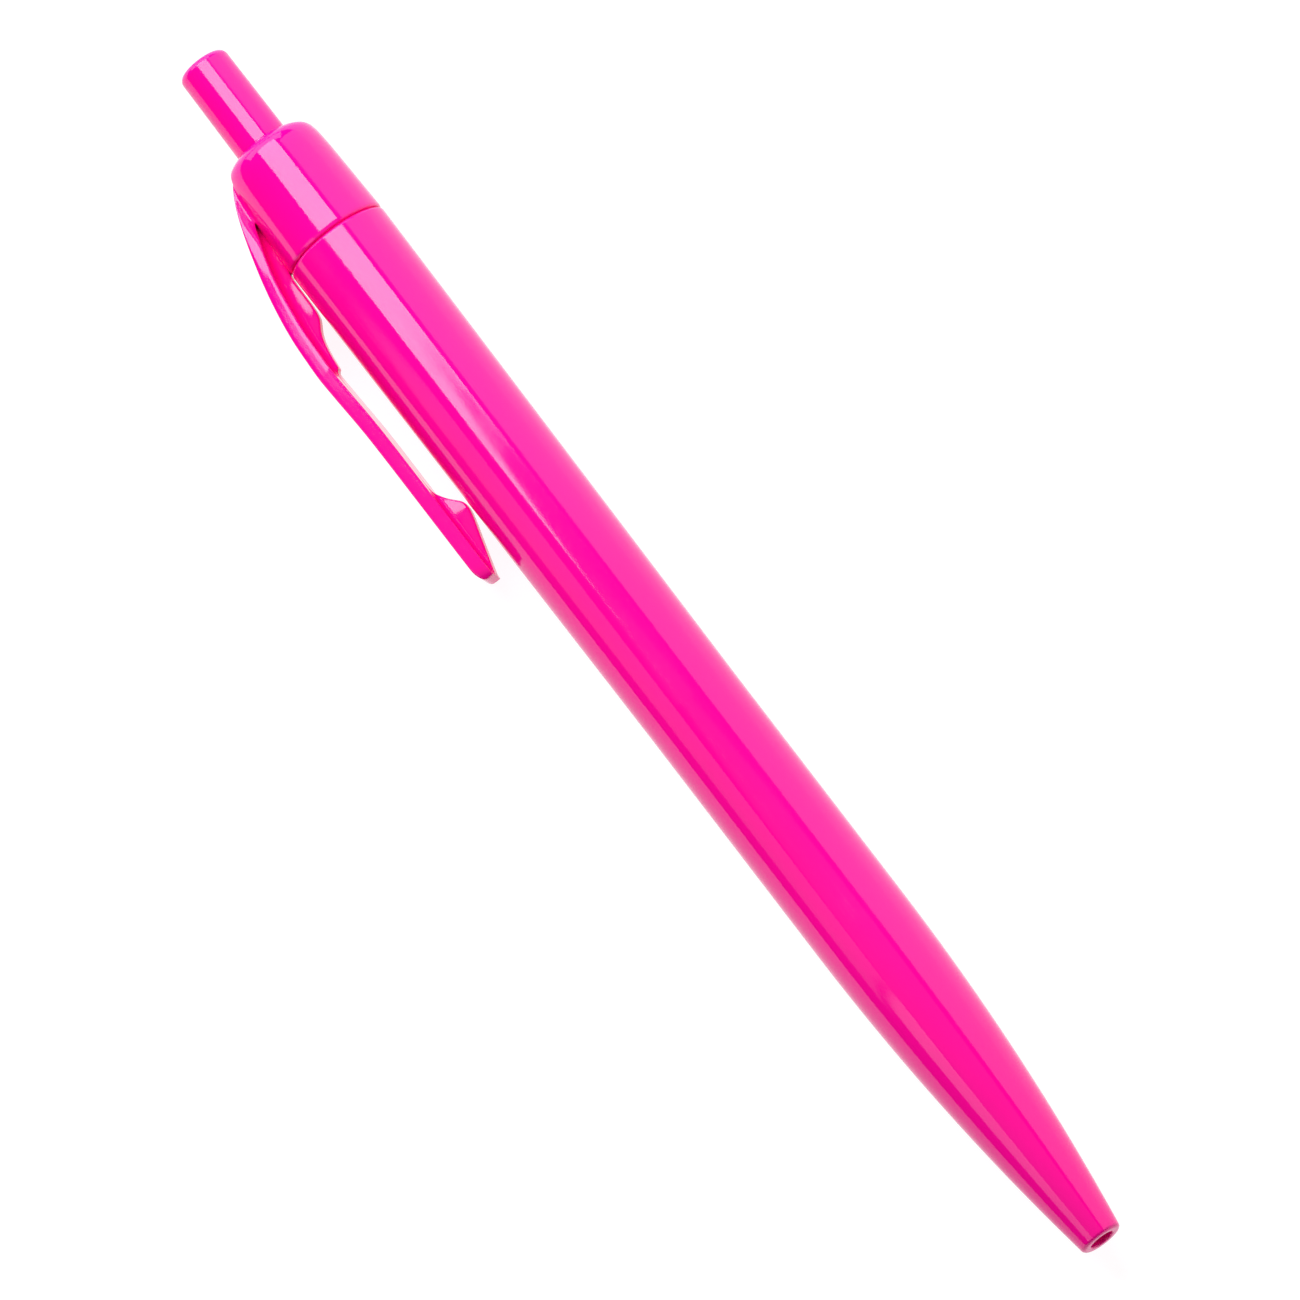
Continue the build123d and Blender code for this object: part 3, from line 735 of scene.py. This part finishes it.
def drawn_steel(where):
    """Hard-drawn wire: bright, with die lines along it and a light film of oil."""
    lines = where.noise(6000, 2.0, (1, 0.2, 0.2))
    film = where.noise(900, 2.0).above(0.4, 0.8)
    return {
        "Base Color": film.blend((0.66, 0.66, 0.67, 1), (0.52, 0.51, 0.50, 1)),
        "Roughness": 0.2 + lines * 0.1 + film * 0.08,
        "Normal": lines.bump(0.000003, 0.4),
    }


spring.data.materials.append(finish_of("drawn_steel", {"Metallic": 1.0}, drawn_steel))
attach(spring, "housing")
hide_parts("return_spring")
joints = frame["record"]["behaviour"]["joints"]
stroke = next(joint["range_m"][1] for joint in joints if joint["name"] == "button_press")
spring_length = spring_high[0] - spring_low[0]
seat = tuple(on_axis(spring_end_x, 0, 0))
1 - stroke / spring_length
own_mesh(spring)


# --------------------------------------------------------------------------------------------------------
# Studio: a lit white sheet behind the pen, soft boxes on the lens's side of it, and a long lens that looks
# down on the pen from a little beyond its point.
# --------------------------------------------------------------------------------------------------------
to_camera = np.array([0.242, -0.2017, 0.949])
to_camera /= np.linalg.norm(to_camera)
facing = np.array([0.0, to_camera[1], to_camera[2]])
facing /= np.linalg.norm(facing)
rightwards = np.array([0.0, facing[2], -facing[1]])
middle = np.array([(cad_box[0][0] + cad_box[1][0]) / 2, AXIS[1], AXIS[2]])
along_pen = Vector((1, 0, 0))

# The sheet is turned round the pen to face the lens, and just misses the barrel.
sheet_half = 0.3
sheet_gap = 0.05
sheet_middle = middle - facing * (barrel_top_r + sheet_gap) * MM
lengthways = np.array([1, 0, 0])
around_it = [(-1, -1), (1, -1), (1, 1), (-1, 1)]
sheet_corners = [sheet_middle + sheet_half * (lengthways * i + rightwards * j) for i, j in around_it]
sheet_mesh = bpy.data.meshes.new("lit_sheet")
sheet_mesh.from_pydata([tuple(corner) for corner in sheet_corners], [], [(0, 1, 2, 3)])
sheet = bpy.data.objects.new("lit_sheet", sheet_mesh)
bpy.context.collection.objects.link(sheet)


def white_acrylic(where):
    """A white acrylic sheet lit from below, so that hardly any shadow shows on it."""
    speck = where.noise(300, 2.0).above(0.3, 0.8)
    return {"Base Color": speck.blend((0.20, 0.20, 0.20, 1), (0.19, 0.19, 0.19, 1))}


glow = {
    "Roughness": 0.9,
    "Specular IOR Level": 0.1,
    "Emission Color": (1, 1, 1, 1),
    "Emission Strength": 0.9,
}
sheet_mesh.materials.append(finish_of("white_acrylic", glow, white_acrylic))


def soft_box(name, beta, lengthwise, distance, across_size, along_size, radiance, twist=0.0):
    """An area light at beta degrees round the pen from the camera's side and lengthwise metres along it,
    turned to face a place half as far along. Its power is pi * area * radiance."""
    light = bpy.data.lights.new(name, "AREA")
    light.shape = "RECTANGLE"
    light.size = across_size
    light.size_y = along_size
    light.energy = math.pi * across_size * along_size * radiance
    lamp = bpy.data.objects.new(name, light)
    bpy.context.collection.objects.link(lamp)
    turn_to = math.radians(beta)
    direction = math.cos(turn_to) * facing + math.sin(turn_to) * rightwards
    place = middle + distance * direction + np.array([lengthwise, 0, 0])
    back = Vector(middle + np.array([lengthwise * 0.5, 0, 0]) - place).normalized() * -1
    along = along_pen - along_pen.dot(back) * back
    along.normalize()
    across_to = along.cross(back)
    turned = Matrix((across_to, along, back)).transposed()
    lamp.matrix_world = Matrix.Translation(place) @ turned.to_4x4() @ Matrix.Rotation(twist, 4, "Z")
    lamp.visible_camera = False


soft_box("key_box", 6.0, -0.455, 0.60, 0.56, 0.55, 7.0, math.radians(2.35))
soft_box("right_box", 66.0, 0.03, 0.80, 0.85, 1.4, 1.0)
soft_box("left_box", -52.0, -0.175, 0.80, 0.52, 0.12, 0.55)
soft_box("tip_box", -47.0, 0.2, 0.80, 0.40, 0.62, 1.2)
soft_box("front_box", -3.0, 0.19, 0.80, 0.94, 0.8, 0.17)
soft_box("rear_box", 0.0, -0.85, 0.31, 1.2, 0.5, 2.0)

world = bpy.data.worlds.new("studio_air")
world.use_nodes = True
air = world.node_tree.nodes["Background"]
air.inputs["Color"].default_value = (1, 1, 1, 1)
air.inputs["Strength"].default_value = 0.04
bpy.context.scene.world = world

# The frame is as wide as frame_width at the pen, which falls across it from the upper left.
camera_distance = 5.0
frame_width = 0.1209
sensor = 36.0
fall = math.radians(52.53)
lens = bpy.data.cameras.new("long_lens")
lens.sensor_width = sensor
lens.lens = sensor * camera_distance / frame_width
lens.clip_start = 0.02
lens.clip_end = 40
camera = bpy.data.objects.new("long_lens", lens)
bpy.context.collection.objects.link(camera)
back = Vector(to_camera)
pen_on_view = (along_pen - along_pen.dot(back) * back).normalized()
right = Matrix.Rotation(fall, 3, back) @ pen_on_view
up = back.cross(right)
turned = Matrix((right, up, back)).transposed()
camera.matrix_world = Matrix.Translation(Vector(middle) + back * camera_distance) @ turned.to_4x4()
bpy.context.scene.camera = camera
view = bpy.context.scene.view_settings
view.view_transform = "Standard"
view.look = "None"
